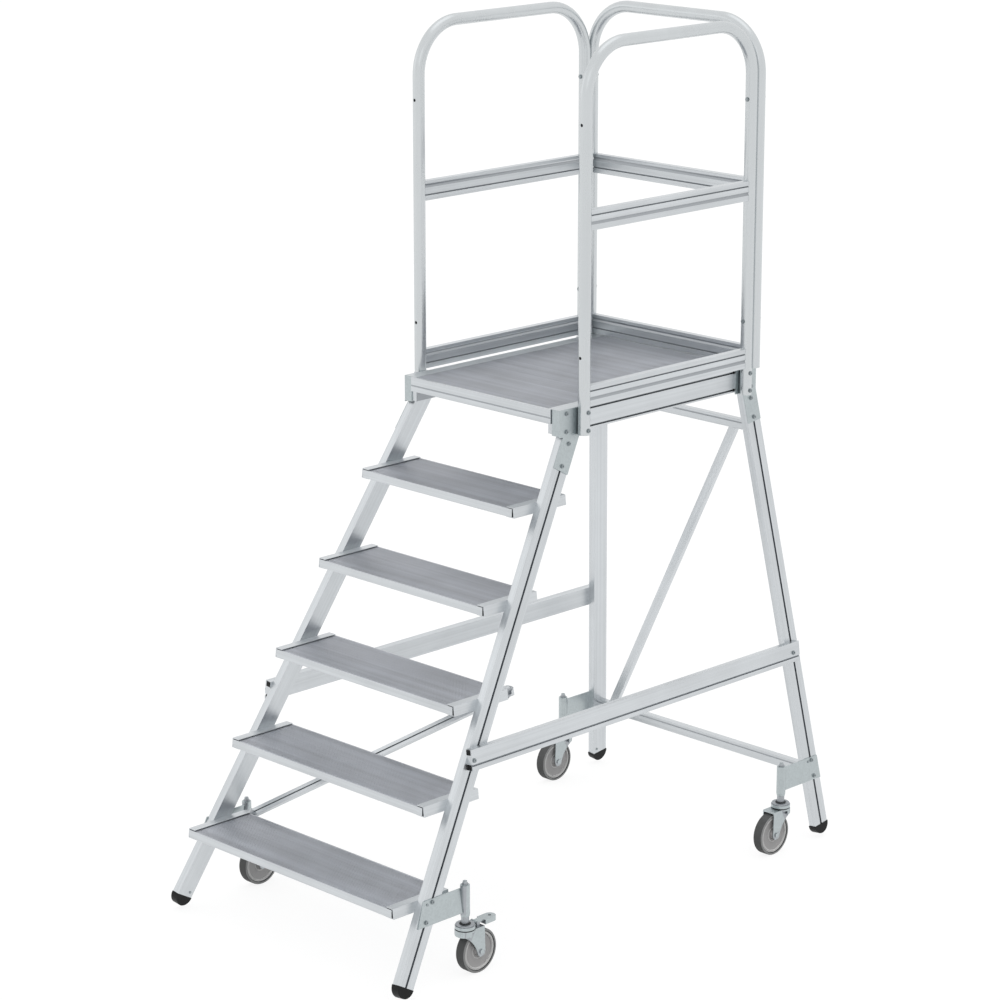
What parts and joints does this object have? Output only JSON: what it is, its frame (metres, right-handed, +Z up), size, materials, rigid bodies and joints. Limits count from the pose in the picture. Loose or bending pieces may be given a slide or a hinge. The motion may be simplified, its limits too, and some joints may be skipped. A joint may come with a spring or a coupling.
{
  "type": "podium step",
  "caption": "Mobile aluminium podium step: ribbed treads between splayed stiles, a guarded platform with toe boards and sprung swivel castors.",
  "frame": {"origin": "on the floor in the middle of the footprint, midway between the front and the rear feet", "axes": "+Z up, +Y along the climb from the first tread to the platform, +X to the climber's right"},
  "size_m": [0.9488, 1.7653, 2.452],
  "materials": {
    "aluminium_profile": "mill-finish extrusion with fine draw lines",
    "aluminium_tread": "ribbed extrusion",
    "aluminium_tube": "drawn tube, satin",
    "zinc_plate": "bright zinc plating, satin",
    "bolt_steel": "zinc plated",
    "spring_steel": "oiled spring wire",
    "black_plastic": "moulded, fine grain",
    "wheel_plastic": "moulded polyamide",
    "tyre_rubber": "grey solid rubber"
  },
  "bodies": {
    "frame": {"stile_left": "aluminium_profile", "stile_right": "aluminium_profile", "rear_leg_left": "aluminium_profile", "rear_leg_right": "aluminium_profile", "feet": "black_plastic", "tread_1": "aluminium_tread", "tread_2": "aluminium_tread", "tread_3": "aluminium_tread", "tread_4": "aluminium_tread", "tread_5": "aluminium_tread", "tread_caps": "aluminium_profile", "side_beam_left": "aluminium_profile", "side_beam_right": "aluminium_profile", "rear_beam": "aluminium_profile", "front_nosing": "aluminium_profile", "deck_planks": "aluminium_tread", "front_gussets": "zinc_plate", "rear_gussets": "zinc_plate", "gusset_bolts": "bolt_steel", "hoop_left": "aluminium_tube", "hoop_right": "aluminium_tube", "hoop_rear": "aluminium_tube", "guard_bolts": "bolt_steel", "side_knee_rails": "aluminium_profile", "rear_knee_rail": "aluminium_profile", "side_toe_boards": "aluminium_profile", "rear_toe_board": "aluminium_profile", "rail_pins": "bolt_steel", "side_braces": "aluminium_profile", "brace_plugs": "black_plastic", "brace_bolts": "bolt_steel", "rear_bar_top": "aluminium_profile", "rear_bar_low": "aluminium_profile", "rear_diagonal": "aluminium_profile", "front_diagonal": "aluminium_profile", "front_brackets": "zinc_plate", "rear_brackets": "zinc_plate", "bracket_bolts": "bolt_steel", "spring_fl": "spring_steel", "spring_fr": "spring_steel", "spring_rl": "spring_steel", "spring_rr": "spring_steel"},
    "stem_fl": {"stem_fl": "zinc_plate"},
    "fork_fl": {"fork_fl": "zinc_plate"},
    "wheel_fl": {"core_fl": "wheel_plastic", "tyre_fl": "tyre_rubber"},
    "stem_fr": {"stem_fr": "zinc_plate"},
    "fork_fr": {"fork_fr": "zinc_plate"},
    "wheel_fr": {"core_fr": "wheel_plastic", "tyre_fr": "tyre_rubber"},
    "stem_rl": {"stem_rl": "zinc_plate"},
    "fork_rl": {"fork_rl": "zinc_plate"},
    "wheel_rl": {"core_rl": "wheel_plastic", "tyre_rl": "tyre_rubber"},
    "stem_rr": {"stem_rr": "zinc_plate"},
    "fork_rr": {"fork_rr": "zinc_plate"},
    "wheel_rr": {"core_rr": "wheel_plastic", "tyre_rr": "tyre_rubber"},
    "pedal_fl": {"pedal_fl": "zinc_plate"},
    "pedal_fr": {"pedal_fr": "zinc_plate"}
  },
  "joints": [
    {"name": "castor_fl_spring_travel", "type": "slide", "parent": "frame", "child": "stem_fl", "axis": [0, 0, 1], "range_m": [0, 0.018], "stiffness_N_per_m": 12000, "springref_m": -0.0167, "deforming": ["spring_fl"]},
    {"name": "castor_fl_swivel", "type": "hinge", "parent": "stem_fl", "child": "fork_fl", "pos_m": [-0.4464, -0.615, 0.129], "axis": [0, 0, 1], "continuous": true},
    {"name": "wheel_fl_spin", "type": "hinge", "parent": "fork_fl", "child": "wheel_fl", "pos_m": [-0.4464, -0.574, 0.0625], "axis": [1, 0, 0], "continuous": true},
    {"name": "pedal_fl_press", "type": "hinge", "parent": "fork_fl", "child": "pedal_fl", "pos_m": [-0.4464, -0.578, 0.142], "axis": [1, 0, 0], "range_deg": [-10, 0]},
    {"name": "castor_fr_spring_travel", "type": "slide", "parent": "frame", "child": "stem_fr", "axis": [0, 0, 1], "range_m": [0, 0.018], "stiffness_N_per_m": 12000, "springref_m": -0.0167, "deforming": ["spring_fr"]},
    {"name": "castor_fr_swivel", "type": "hinge", "parent": "stem_fr", "child": "fork_fr", "pos_m": [0.4464, -0.615, 0.129], "axis": [0, 0, 1], "continuous": true},
    {"name": "wheel_fr_spin", "type": "hinge", "parent": "fork_fr", "child": "wheel_fr", "pos_m": [0.4464, -0.574, 0.0625], "axis": [1, 0, 0], "continuous": true},
    {"name": "pedal_fr_press", "type": "hinge", "parent": "fork_fr", "child": "pedal_fr", "pos_m": [0.4464, -0.578, 0.142], "axis": [1, 0, 0], "range_deg": [-10, 0]},
    {"name": "castor_rl_spring_travel", "type": "slide", "parent": "frame", "child": "stem_rl", "axis": [0, 0, 1], "range_m": [0, 0.018], "stiffness_N_per_m": 12000, "springref_m": -0.0167, "deforming": ["spring_rl"]},
    {"name": "castor_rl_swivel", "type": "hinge", "parent": "stem_rl", "child": "fork_rl", "pos_m": [-0.4464, 0.686, 0.129], "axis": [0, 0, 1], "continuous": true},
    {"name": "wheel_rl_spin", "type": "hinge", "parent": "fork_rl", "child": "wheel_rl", "pos_m": [-0.4464, 0.645, 0.0625], "axis": [1, 0, 0], "continuous": true},
    {"name": "castor_rr_spring_travel", "type": "slide", "parent": "frame", "child": "stem_rr", "axis": [0, 0, 1], "range_m": [0, 0.018], "stiffness_N_per_m": 12000, "springref_m": -0.0167, "deforming": ["spring_rr"]},
    {"name": "castor_rr_swivel", "type": "hinge", "parent": "stem_rr", "child": "fork_rr", "pos_m": [0.4464, 0.686, 0.129], "axis": [0, 0, 1], "continuous": true},
    {"name": "wheel_rr_spin", "type": "hinge", "parent": "fork_rr", "child": "wheel_rr", "pos_m": [0.4464, 0.645, 0.0625], "axis": [1, 0, 0], "continuous": true}
  ]
}
